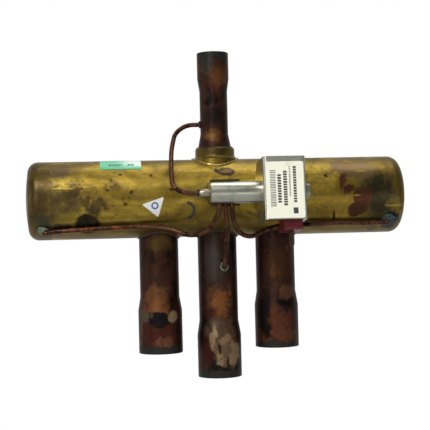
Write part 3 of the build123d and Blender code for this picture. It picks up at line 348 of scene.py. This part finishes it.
SURFACES = {
    "body_brass": brass("body_brass", BODY_BLOTS),
    "left_cap_brass": brass(
        "left_cap_brass",
        (
            burnt(-100.0, 4.0, 6.0, 16.0, TARNISH_AND_SHADE, ragged=0.5, edge=0.6),
            burnt(-96.0, -14.0, 7.0, 4.5, linear(60, 62, 46), ragged=0.5, edge=0.4),
        ),
        dull=0.8,
        seed=3.0,
    ),
    "right_cap_brass": brass(
        "right_cap_brass",
        (
            burnt(95.5, -15.0, 6.0, 7.0, BLUE_BLACK, ragged=0.45, edge=0.3),
            burnt(94.0, 0.0, 5.0, 12.0, GREEN_BLACK, ragged=0.5, edge=0.6),
        ),
        dull=0.5,
        seed=7.0,
    ),
    "boss_brass": brass("boss_brass", dull=0.5, seed=11.0, streaks=False),
    "left_stub_copper": copper(
        "left_stub_copper",
        (
            patch(left_x - 3.4, 46.0, 8.0, 6.0, linear(92, 58, 32), ragged=0.5, edge=0.4, patchy=0.7),
            patch(left_x - 1.0, 40.6, 6.0, 4.0, linear(104, 64, 34), ragged=0.35, edge=0.25, patchy=0.5),
            patch(left_x - 1.2, 34.4, 6.2, 4.4, linear(13, 11, 11), ragged=0.16, edge=0.10, patchy=0.3),
            patch(left_x - 9.6, 36.0, 4.0, 4.4, linear(74, 64, 50), ragged=0.25, edge=0.15, patchy=0.4),
            patch(left_x + 6.4, 35.6, 2.8, 3.6, FLUX_PALE, ragged=0.25, edge=0.2, patchy=0.5),
            patch(left_x - 1.5, 25.4, 8.6, 5.6, linear(62, 26, 15), ragged=0.5, edge=0.4, patchy=0.8),
            patch(left_x + 1.0, 20.0, 5.0, 3.0, linear(92, 58, 38), ragged=0.5, edge=0.4, patchy=0.8),
            patch(left_x, 77.0, 8.0, 3.4, linear(76, 56, 20), ragged=0.3, edge=0.7),
        ),
        seed=1.0,
        rim=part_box("left_stub")[0].z,
        rim_depth=4.2,
    ),
    "suction_stub_copper": copper(
        "suction_stub_copper",
        (
            patch(-1.0, 42.0, 6.4, 8.0, linear(106, 64, 32), ragged=0.4, edge=0.35, patchy=0.7),
            patch(-6.0, 36.0, 4.0, 4.0, linear(58, 26, 16), ragged=0.5, edge=0.6, patchy=0.8),
            patch(0.0, 26.6, 9.0, 7.0, FLUX_GREY, ragged=0.45, edge=0.2, patchy=0.7),
            patch(3.0, 14.5, 8.0, 9.0, linear(92, 72, 52), ragged=0.40, edge=0.15, patchy=0.6),
            patch(-4.6, 23.0, 1.8, 7.0, FLUX_PALE, ragged=0.25, edge=0.3, patchy=0.6),
            patch(-1.0, 11.0, 2.2, 5.4, FLUX_PALE, ragged=0.25, edge=0.3, patchy=0.6),
            patch(7.5, 14.0, 2.4, 7.4, FLUX_PALE, ragged=0.25, edge=0.3, patchy=0.6),
            patch(2.0, 23.0, 3.0, 3.0, linear(118, 92, 66), ragged=0.35, edge=0.3, patchy=0.7),
            patch(-9.6, 14.7, 4.6, 8.6, linear(56, 20, 15), ragged=0.3, edge=0.3, patchy=0.5),
            patch(-1.0, 17.6, 0.9, 3.4, linear(34, 26, 18), ragged=0.12, edge=0.3),
            patch(3.8, 8.0, 1.0, 3.6, linear(34, 26, 18), ragged=0.15, edge=0.3),
            patch(-2.7, 5.6, 2.6, 2.0, linear(14, 12, 11), ragged=0.10, edge=0.2),
            patch(-4.0, 66.0, 5.0, 10.0, linear(60, 52, 46), ragged=0.3, edge=0.8, patchy=0.5),
        ),
        base=linear(56, 36, 26),
        seed=5.0,
        rim=0.0,
        rim_depth=3.8,
        tone=0.8,
    ),
    "right_stub_copper": copper(
        "right_stub_copper",
        (
            patch(right_x - 1.0, 31.0, 8.0, 8.0, linear(78, 42, 24), ragged=0.5, edge=0.35, patchy=0.8),
            patch(right_x + 4.7, 48.0, 4.0, 4.0, linear(88, 58, 40), ragged=0.45, edge=0.4, patchy=0.8),
            patch(right_x + 4.0, 41.0, 5.4, 3.4, linear(20, 12, 12), ragged=0.3, edge=0.3, patchy=0.5),
            # Painted shade: a tall black strip down the right stub's left edge.
            patch(right_x - 9.0, 34.0, 4.0, 16.0, COPPER_BLACK, ragged=0.3, edge=0.4),
            patch(right_x + 3.0, 22.0, 6.0, 4.0, linear(84, 48, 30), ragged=0.5, edge=0.4, patchy=0.8),
            patch(right_x, 64.0, 9.0, 8.0, linear(64, 36, 18), ragged=0.6, edge=0.6, patchy=0.7),
        ),
        base=linear(56, 30, 20),
        seed=9.0,
        rim=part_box("right_stub")[0].z,
        rim_depth=3.8,
    ),
    "discharge_stub_copper": copper(
        "discharge_stub_copper",
        (
            patch(2.6, 169.0, 6.0, 8.0, linear(92, 54, 28), ragged=0.45, edge=0.4, patchy=0.7),
            patch(-4.6, 179.0, 5.0, 9.0, linear(46, 44, 38), ragged=0.3, edge=0.25, patchy=0.4),
            patch(-4.0, 156.3, 3.4, 3.0, linear(14, 14, 13), ragged=0.2, edge=0.3, patchy=0.4),
            patch(0.0, 149.0, 8.0, 6.0, linear(26, 18, 14), ragged=0.4, edge=0.6, patchy=0.5),
            patch(-3.0, 137.0, 6.0, 3.4, linear(110, 76, 40), ragged=0.3, edge=0.6, patchy=0.6),
        ),
        base=linear(66, 38, 26),
        seed=13.0,
        rim=discharge_high.z,
        rim_depth=4.4,
    ),
    "capillary_copper": copper(
        "capillary_copper", base=linear(104, 68, 48), seed=17.0, metallic=0.75
    ),
}


def drawn_steel(name, tint, roughness, metallic=1.0, brushed=(1, 60, 60), seed=0.0):
    """Plated or bare metal with a drawn grain and dull soiled patches."""
    s = Surface(name, metallic=metallic, roughness=roughness)
    grain = s.noise(60.0, 3.0, 0.5, stretch=brushed, shift=(seed, 0, 0))
    dirt = s.noise(110.0, 5.0, 0.6, shift=(0, seed, 0))
    dull = tuple(c * 0.55 for c in tint[:3]) + (1.0,)
    colour = s.mix(s.math("MULTIPLY", grain, 0.5), tint, dull)
    s.colour(s.mix(s.step(dirt, 0.52, 0.80), colour, dull))
    s.feed(s.math("MULTIPLY_ADD", dirt, 0.35, roughness - 0.12), "Roughness")
    s.bump(grain, 0.00004, 0.4)
    return s


SURFACES["pilot_steel"] = drawn_steel("pilot_steel", linear(174, 173, 158), 0.27)
SURFACES["plug_steel"] = drawn_steel("plug_steel", linear(150, 142, 124), 0.34, seed=2.0)
# The bracket is coloured far darker than the other steel: partly its own dark steel, partly painted
# shade where it sits under the pilot tube.
SURFACES["bracket_steel"] = drawn_steel("bracket_steel", linear(70, 64, 42), 0.5, seed=4.0)
SURFACES["frame_zinc"] = drawn_steel(
    "frame_zinc", linear(204, 204, 190), 0.26, brushed=(2, 2, 2), seed=6.0
)
SURFACES["screw_steel"] = drawn_steel("screw_steel", linear(150, 146, 130), 0.34, seed=8.0)
SURFACES["inner_steel"] = drawn_steel("inner_steel", linear(176, 176, 176), 0.35, seed=10.0)
SURFACES["spring_steel"] = drawn_steel("spring_steel", linear(150, 150, 152), 0.35, seed=12.0)
SURFACES["terminal_brass"] = drawn_steel("terminal_brass", linear(88, 72, 52), 0.45, seed=14.0)
SURFACES["winding_copper"] = drawn_steel("winding_copper", linear(168, 96, 58), 0.35, seed=16.0)
SURFACES["seat_brass"] = brass("seat_brass", seed=21.0)


def moulded(name, tint, roughness=0.45):
    """Moulded plastic: faintly mottled, with a fine grain."""
    s = Surface(name, roughness=roughness, IOR=1.5)
    mottle = s.noise(140.0, 4.0, 0.6)
    dark = tuple(c * 0.55 for c in tint[:3]) + (1.0,)
    s.colour(s.mix(s.step(mottle, 0.35, 0.75), tint, dark))
    s.bump(s.noise(900.0, 2.0, 0.5), 0.00003, 0.5)
    return s


SURFACES["moulding_red"] = moulded("moulding_red", linear(112, 10, 26), 0.38)
SURFACES["slide_nylon"] = moulded("slide_nylon", linear(226, 222, 206))
SURFACES["seal_ptfe"] = moulded("seal_ptfe", linear(206, 204, 198))
SURFACES["bobbin_nylon"] = moulded("bobbin_nylon", linear(214, 208, 188))


def film(name, tint, roughness=0.42):
    """Printed film: near white or coloured, faintly soiled and puckered."""
    s = Surface(name, roughness=roughness)
    soil = s.noise(150.0, 5.0, 0.65)
    dirty = tuple(c * 0.72 for c in tint[:3]) + (1.0,)
    s.colour(s.mix(s.step(soil, 0.58, 0.82), tint, dirty))
    s.bump(s.noise(240.0, 2.0, 0.5), 0.00004, 0.5)
    return s


SURFACES["coil_label"] = film("coil_label", linear(248, 248, 226))
SURFACES["triangle_tag"] = film("triangle_tag", linear(226, 228, 222))


def green_film():
    """The green label's film: green at its lower edge and left, fading to near white."""
    s = Surface("green_label", roughness=0.4)
    label_low, label_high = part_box("green_label")
    x = s.along(0)
    z = s.along(2)
    rise = s.step(z, label_low.z + 0.2 * MM, label_low.z + 3.4 * MM)
    run = s.step(x, label_low.x + 6 * MM, label_high.x)
    fade = s.math("MULTIPLY", rise, s.math("MULTIPLY_ADD", run, 0.75, 0.25), clamp=True)
    colour = s.ramp(
        fade,
        (0.0, linear(62, 168, 118)),
        (0.35, linear(126, 206, 164)),
        (0.8, linear(222, 236, 226)),
    )
    s.colour(colour)
    s.bump(s.noise(240.0, 2.0, 0.5), 0.00004, 0.5)
    return s


SURFACES["green_label"] = green_film()

slot_of = {part["node"]: part["material_slot"] for part in frame["record"]["subparts"]}
for node, obj in frame["nodes"].items():
    for slot in obj.material_slots:
        slot.material = SURFACES[slot_of[node]].material

# ------------------------------------------------------------------ pieces


def finish_piece(obj, surface, smooth=True):
    """Gives a piece its material and slot, and lets it ride the valve's fixed body."""
    obj.data.materials.append(surface.material)
    if smooth and obj.type == "MESH":
        for face in obj.data.polygons:
            face.use_smooth = True
    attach(obj, VALVE)
    return obj


def new_mesh(name, build):
    """A mesh object whose faces the given function adds."""
    mesh = bpy.data.meshes.new(name)
    bm = bmesh.new()
    build(bm)
    bmesh.ops.recalc_face_normals(bm, faces=bm.faces)
    bm.to_mesh(mesh)
    bm.free()
    obj = bpy.data.objects.new(name, mesh)
    bpy.context.scene.collection.objects.link(obj)
    return obj


def bead(name, centres, radii, surface, around=14, lumps=0.0, seed=0.0):
    """A closed ring of braze: a lumpy tube along a loop of points."""
    count = len(centres)

    def build(bm):
        loops = []
        for i, centre in enumerate(centres):
            ahead = centres[(i + 1) % count] - centres[i - 1]
            ahead.normalize()
            side = ahead.cross(Vector((0.31, 0.17, 0.94))).normalized()
            up = side.cross(ahead)
            swell = 1 + lumps * noise.noise(centre * 420 + Vector((seed, 0, 0)))
            r = radii[i % len(radii)] * swell
            loops.append(
                [
                    bm.verts.new(centre + (side * cos(t) + up * sin(t)) * r)
                    for t in (2 * pi * k / around for k in range(around))
                ]
            )
        for i in range(count):
            a, b = loops[i], loops[(i + 1) % count]
            for k in range(around):
                bm.faces.new((a[k], a[(k + 1) % around], b[(k + 1) % around], b[k]))

    return finish_piece(new_mesh(name, build), surface)


def ring(centre, radius, count, across=(1, 0, 0), along=(0, 0, 1)):
    """Points round a circle that lies along two directions."""
    turns = (2 * pi * i / count for i in range(count))
    return [
        centre + Vector(across) * (radius * cos(t)) + Vector(along) * (radius * sin(t))
        for t in turns
    ]


def saddle(x, ring_r, up, proud=0.0, steps=96):
    """A ring round a stub where it meets the body's surface."""
    points = []
    for i in range(steps):
        t = 2 * pi * i / steps
        y = ring_r * sin(t)
        z = sqrt((BODY_R + proud) ** 2 - y**2)
        points.append(Vector((x + ring_r * cos(t), y, AXIS_Z + (z if up else -z))))
    return points


def blob(name, centre, radii, turn, surface, lumps=0.25, seed=0.0):
    """A lump of braze or flux, from a noisy ball."""

    def build(bm):
        bmesh.ops.create_icosphere(bm, subdivisions=4, radius=1.0)
        for vert in bm.verts:
            p = vert.co.copy()
            swell = 1 + lumps * noise.fractal(p * 1.6 + Vector((seed, 0, 0)), 0.8, 2.0, 4)
            vert.co = Vector((p.x * radii[0], p.y * radii[1], p.z * radii[2])) * swell * MM
        bmesh.ops.transform(bm, matrix=Matrix.Translation(centre) @ turn, verts=bm.verts)

    return finish_piece(new_mesh(name, build), surface)


def solder(name, tint, metallic=0.5, roughness=0.5, seed=0.0):
    """Braze or flux residue: rough, with dark hollows."""
    s = Surface(name, metallic=metallic, roughness=roughness)
    mottle = s.noise(500.0, 5.0, 0.6, shift=(seed, 0, 0))
    dark = tuple(c * 0.35 for c in tint[:3]) + (1.0,)
    s.colour(s.mix(s.step(mottle, 0.35, 0.7), tint, dark))
    s.bump(mottle, 0.0003, 0.8)
    return s


bright_braze = solder("bright_braze", linear(206, 182, 112), 0.9, 0.28)
dark_braze = solder("dark_braze", linear(74, 62, 40), 0.5, 0.55, 1.0)
green_braze = solder("green_braze", linear(112, 120, 98), 0.4, 0.5, 2.0)
blue_braze = solder("blue_braze", linear(52, 66, 66), 0.4, 0.5, 3.0)
black_braze = solder("black_braze", linear(34, 28, 26), 0.3, 0.6, 4.0)

# Where the braze lies, in mm: radii, and the taps' places from the body's axis
GROOVE_R = 9.9
STUB_FILLET_R = 11.35
LEFT_PORT = (-98.0, 49.0)
RIGHT_PORT = (97.0, 43.0)
SUCTION_TAP = Vector((2.4, -11.35, -39.4)) * MM
SUCTION_TAP_R = 1.75
DISCHARGE_TAP = Vector((-8.2, 0, 42.0)) * MM
DISCHARGE_TAP_R = 1.45
BODY_AXIS = Vector((0, 0, AXIS_Z))

boss_foot_r = (boss_high.x - boss_low.x) / 2
bead(
    "boss_fillet",
    saddle(0.0, boss_foot_r - 0.2 * MM, True, 0.15 * MM),
    [0.55 * MM],
    bright_braze,
    lumps=0.35,
)
bead(
    "discharge_braze",
    ring(Vector((0, 0, boss_high.z)), GROOVE_R * MM, 80, along=(0, 1, 0)),
    [0.55 * MM],
    black_braze,
    lumps=0.5,
)
for name, node in (("left", "left_stub"), ("suction", "suction_stub"), ("right", "right_stub")):
    bead(
        f"{name}_stub_fillet",
        saddle(stub_axis(node), STUB_FILLET_R * MM, False, -0.1 * MM),
        [0.8 * MM],
        dark_braze,
        lumps=0.4,
        seed=len(name),
    )


def radial(x, angle):
    """A turn that points a blob's Z out of the body at an angle below its front."""
    out = Vector((0, -cos(radians(angle)), -sin(radians(angle))))
    return out.to_track_quat("Z", "Y").to_matrix().to_4x4()


def port(x, angle, proud=0.0):
    """A point on the body at an X in mm and an angle below its front."""
    r = BODY_R + proud * MM
    return Vector((x * MM, -r * cos(radians(angle)), AXIS_Z - r * sin(radians(angle))))


blob(
    "left_port_braze",
    port(*LEFT_PORT, 0.2),
    (3.4, 3.0, 1.7),
    radial(*LEFT_PORT),
    green_braze,
    seed=1.0,
)
blob(
    "right_port_braze",
    port(*RIGHT_PORT, 0.2),
    (4.6, 4.2, 1.6),
    radial(*RIGHT_PORT),
    blue_braze,
    lumps=0.4,
    seed=4.0,
)
bead(
    "suction_tap_braze",
    ring(BODY_AXIS + SUCTION_TAP, SUCTION_TAP_R * MM, 40),
    [0.8 * MM],
    green_braze,
    lumps=0.5,
)
bead(
    "discharge_tap_braze",
    ring(BODY_AXIS + DISCHARGE_TAP, DISCHARGE_TAP_R * MM, 40, across=(0, 1, 0)),
    [0.75 * MM],
    black_braze,
    lumps=0.4,
)

plug_low, plug_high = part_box("pilot_plug")
blob(
    "nipple_braze",
    Vector((plug_low.x, (plug_low.y + plug_high.y) / 2, (plug_low.z + plug_high.z) / 2)),
    (1.7, 1.75, 1.75),
    Matrix.Identity(4),
    black_braze,
    lumps=0.3,
    seed=6.0,
)

# ------------------------------------------------------------------ print on the labels

label_low, label_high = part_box("coil_label")
COIL_TURN = radians(-6.0)
PILOT = Vector((1.0, -36.0, AXIS_Z / MM + 1.5)) * MM
LABEL_FACE = -15.5 - 0.02 - 0.15


def worn_ink(name, dark, light, grain=900.0, roughness=0.6):
    """Ink that has thinned in places."""
    s = Surface(name, roughness=roughness)
    s.colour(s.ramp(s.noise(grain), (0.3, dark), (0.8, light)))
    return s


ink = worn_ink("ink", linear(30, 30, 32), linear(84, 84, 84))
grey_ink = worn_ink("grey_ink", linear(112, 112, 110), linear(150, 150, 146))


def print_bars(name, bars, surface, to_world):
    """Flat marks: each bar is (x, z, width, height) in mm on a label's own plane."""

    def build(bm):
        for x, z, width, height in bars:
            corners = [(x, z), (x + width, z), (x + width, z + height), (x, z + height)]
            bm.faces.new([bm.verts.new(to_world(cx, cz)) for cx, cz in corners])

    return finish_piece(new_mesh(name, build), surface, smooth=False)


def on_coil(x, z, lift=0.015):
    """A point on the coil label's face, from the sleeve's middle port, in mm."""
    local = Vector((x, LABEL_FACE - lift, z)) * MM
    turned = Matrix.Rotation(COIL_TURN, 3, "X") @ local
    return PILOT + turned


def uneven(count, low, high, seed):
    """A repeatable run of lengths between two limits."""
    shares = (0.5 + 0.5 * noise.noise(Vector((i * 1.7 + seed, seed, 0))) for i in range(count))
    return [low + (high - low) * share for share in shares]


LABEL_X = (label_low.x - PILOT.x) / MM
LABEL_WIDTH = (label_high.x - label_low.x) / MM
LABEL_MIDDLE = ((label_low.z + label_high.z) / 2 - PILOT.z) / MM - 1.7
LABEL_HALF = (label_high.z - label_low.z) / 2 / MM


def label_spot(across, up):
    """A place on the label from its left edge (0 to 1) and its middle (-1 to 1), in mm."""
    return LABEL_X + across * LABEL_WIDTH, LABEL_MIDDLE + up * LABEL_HALF


bars = []
code_x, z = label_spot(0.10, 0.70)
code_end, foot = label_spot(0.25, -0.62)
for width, gap in zip(uneven(80, 0.20, 0.85, 1.0), uneven(80, 0.2, 0.55, 9.0)):
    if z - width < foot:
        break
    bars.append((code_x, z - width, code_end - code_x, width))
    z -= width + gap
print_bars("code_bars", bars, grey_ink, on_coil)


def dashes(across, top, bottom, thickness, seed, dash=(0.55, 1.5), gap=(0.22, 0.5)):
    """A column of plain bars, standing where the label has a line of print."""
    out = []
    x, z = label_spot(across, top)
    foot = label_spot(across, bottom)[1]
    for length, space in zip(uneven(80, *dash, seed), uneven(80, *gap, seed + 5)):
        if z - length < foot:
            break
        out.append((x - thickness / 2, z - length, thickness, length))
        z -= length + space
    return out


print_bars(
    "print_dark",
    dashes(0.345, 0.55, -0.46, 1.9, 3.0)
    + dashes(0.50, 0.67, -0.64, 2.0, 6.0)
    + dashes(0.755, 0.83, -0.52, 1.7, 8.0),
    ink,
    on_coil,
)
print_bars(
    "print_grey",
    dashes(0.625, 0.83, -0.24, 0.8, 2.0, (0.3, 0.8), (0.25, 0.4)),
    grey_ink,
    on_coil,
)
block_x, block_z = label_spot(0.755, -0.74)
block = [(block_x - 1.3, block_z - 1.6, 2.6, 3.2)]
print_bars("print_block", block, ink, on_coil)


def on_shell(x, z, lift=0.19):
    """A point over the front of the body, from its X and its height over the axis, in mm."""
    r = BODY_R / MM + lift
    return Vector((x * MM, -sqrt(r**2 - z**2) * MM, AXIS_Z + z * MM))


def ring_mark(name, x, z, radius, width, surface, lift, start=0.0, sweep=360.0, steps=48):
    """A pen-like arc on the body's curve."""

    def build(bm):
        rows = []
        for i in range(steps + 1):
            t = radians(start + sweep * i / steps)
            rims = (radius - width / 2, radius + width / 2)
            spots = [on_shell(x + rim * cos(t), z + rim * sin(t), lift) for rim in rims]
            rows.append([bm.verts.new(spot) for spot in spots])
        for a, b in zip(rows, rows[1:]):
            bm.faces.new((a[0], a[1], b[1], b[0]))

    return finish_piece(new_mesh(name, build), surface, smooth=False)


blue_ink = worn_ink("blue_ink", linear(38, 74, 140), linear(92, 122, 172), grain=700.0)
ring_mark("tag_ring", -36.5, -4.4, 1.6, 0.85, blue_ink, 0.20)
green_ink = worn_ink("green_ink", linear(16, 26, 14), linear(34, 42, 22), grain=600.0, roughness=0.5)
ring_mark("pen_tick", -19.0, -7.4, 4.3, 1.6, green_ink, 0.03, start=-78.0, sweep=166.0)

green_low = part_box("green_label")[0]
MARK_Z = 18.6
MARK_HEIGHT = 0.8
MARKS = ((5.0, 1.2), (6.6, 0.8), (7.8, 1.6), (9.8, 1.4), (11.6, 0.8), (15.4, 1.6), (17.4, 1.4))
marks = [(green_low.x / MM + x, MARK_Z, width, MARK_HEIGHT) for x, width in MARKS]
print_bars("green_label_marks", marks, ink, on_shell)

# ------------------------------------------------------------------ stage


def plane(name, corners, surface):
    """A stage plane from its four corners."""
    obj = new_mesh(name, lambda bm: bm.faces.new([bm.verts.new(c) for c in corners]))
    obj.data.materials.append(surface)
    return obj


def pale(name, shown, lit):
    """A matt pale surface that the camera, mirrors and glass see at a set level."""
    material = bpy.data.materials.new(name)
    material.use_nodes = True
    tree = material.node_tree
    tree.nodes.clear()
    path = tree.nodes.new("ShaderNodeLightPath")
    matt = tree.nodes.new("ShaderNodeBsdfDiffuse")
    matt.inputs["Color"].default_value = lit
    glow = tree.nodes.new("ShaderNodeEmission")
    glow.inputs["Color"].default_value = shown
    seen = tree.nodes.new("ShaderNodeMath")
    seen.operation = "MAXIMUM"
    mirrored = tree.nodes.new("ShaderNodeMath")
    mirrored.operation = "MULTIPLY_ADD"
    mirrored.inputs[1].default_value = GLOSSY_LEVEL
    tree.links.new(path.outputs["Is Glossy Ray"], mirrored.inputs[0])
    tree.links.new(path.outputs["Is Transmission Ray"], mirrored.inputs[2])
    tree.links.new(path.outputs["Is Camera Ray"], seen.inputs[0])
    tree.links.new(mirrored.outputs[0], seen.inputs[1])
    mixer = tree.nodes.new("ShaderNodeMixShader")
    tree.links.new(seen.outputs[0], mixer.inputs[0])
    tree.links.new(matt.outputs[0], mixer.inputs[1])
    tree.links.new(glow.outputs[0], mixer.inputs[2])
    out = tree.nodes.new("ShaderNodeOutputMaterial")
    tree.links.new(mixer.outputs[0], out.inputs[0])
    return material


GLOSSY_LEVEL = 0.5
WHITE = (1.0, 1.0, 1.0, 1.0)
FLOOR_Z = -0.16
REACH = 14.0
BACKDROP_Y = 1.2
paper = pale("paper", WHITE, (0.45, 0.45, 0.45, 1.0))
plane(
    "floor",
    [(x * REACH, y * REACH, FLOOR_Z) for x, y in ((-1, -1), (1, -1), (1, 1), (-1, 1))],
    paper,
)
plane(
    "backdrop",
    [
        (-REACH, BACKDROP_Y, FLOOR_Z),
        (REACH, BACKDROP_Y, FLOOR_Z),
        (REACH, BACKDROP_Y, REACH),
        (-REACH, BACKDROP_Y, REACH),
    ],
    paper,
)

world = bpy.data.worlds.new("room")
world.use_nodes = True
bpy.context.scene.world = world
sky = world.node_tree.nodes["Background"]
sky.inputs["Color"].default_value = (0.55, 0.56, 0.57, 1.0)
sky.inputs["Strength"].default_value = 0.45


def softbox(name, place, aim, size, power):
    """A rectangular light, in metres and watts, turned towards its aim."""
    data = bpy.data.lights.new(name, "AREA")
    data.shape = "RECTANGLE"
    data.size, data.size_y = size
    data.energy = power
    obj = bpy.data.objects.new(name, data)
    bpy.context.scene.collection.objects.link(obj)
    obj.location = place
    obj.rotation_mode = "QUATERNION"
    obj.rotation_quaternion = (Vector(aim) - Vector(place)).to_track_quat("-Z", "Y")


MIDDLE = (0.0, 0.0, AXIS_Z)
softbox("key", (-0.35, -0.75, 0.95), MIDDLE, (0.55, 0.30), 8.5)
softbox("fill", (-0.55, -1.1, 0.25), MIDDLE, (0.5, 0.5), 2.9)
softbox("side", (-1.0, -0.15, 0.15), MIDDLE, (0.5, 0.8), 1.1)
softbox("bounce", (0.35, -0.85, -0.12), MIDDLE, (0.8, 0.15), 0.9)
softbox("top", (0.2, 0.1, 1.2), MIDDLE, (0.7, 0.4), 4.0)

# ------------------------------------------------------------------ camera

IMAGE_SIDE = 430
FOCAL_PIXELS = 1128.1
CAMERA_AZIMUTH = -6.8
CAMERA_ELEVATION = -0.96
CAMERA_ROLL = 1.434
CAMERA_DISTANCE = 0.647
CAMERA_AIM = Vector((-0.00073, 0.0, AXIS_Z - 0.00991))

camera_data = bpy.data.cameras.new("camera")
camera_data.sensor_width = 36.0
camera_data.lens = 36.0 * FOCAL_PIXELS / IMAGE_SIDE
camera = bpy.data.objects.new("camera", camera_data)
bpy.context.scene.collection.objects.link(camera)
bpy.context.scene.camera = camera
a, e = radians(CAMERA_AZIMUTH), radians(CAMERA_ELEVATION)
back = Vector((sin(a) * cos(e), -cos(a) * cos(e), sin(e)))
camera.location = CAMERA_AIM + back * CAMERA_DISTANCE
camera.rotation_mode = "QUATERNION"
turn = (-back).to_track_quat("-Z", "Y").to_matrix() @ Matrix.Rotation(radians(-CAMERA_ROLL), 3, "Z")
camera.rotation_quaternion = turn.to_quaternion()
camera_data.clip_start = 0.01
camera_data.clip_end = 20.0

bpy.context.scene.view_settings.view_transform = "Standard"
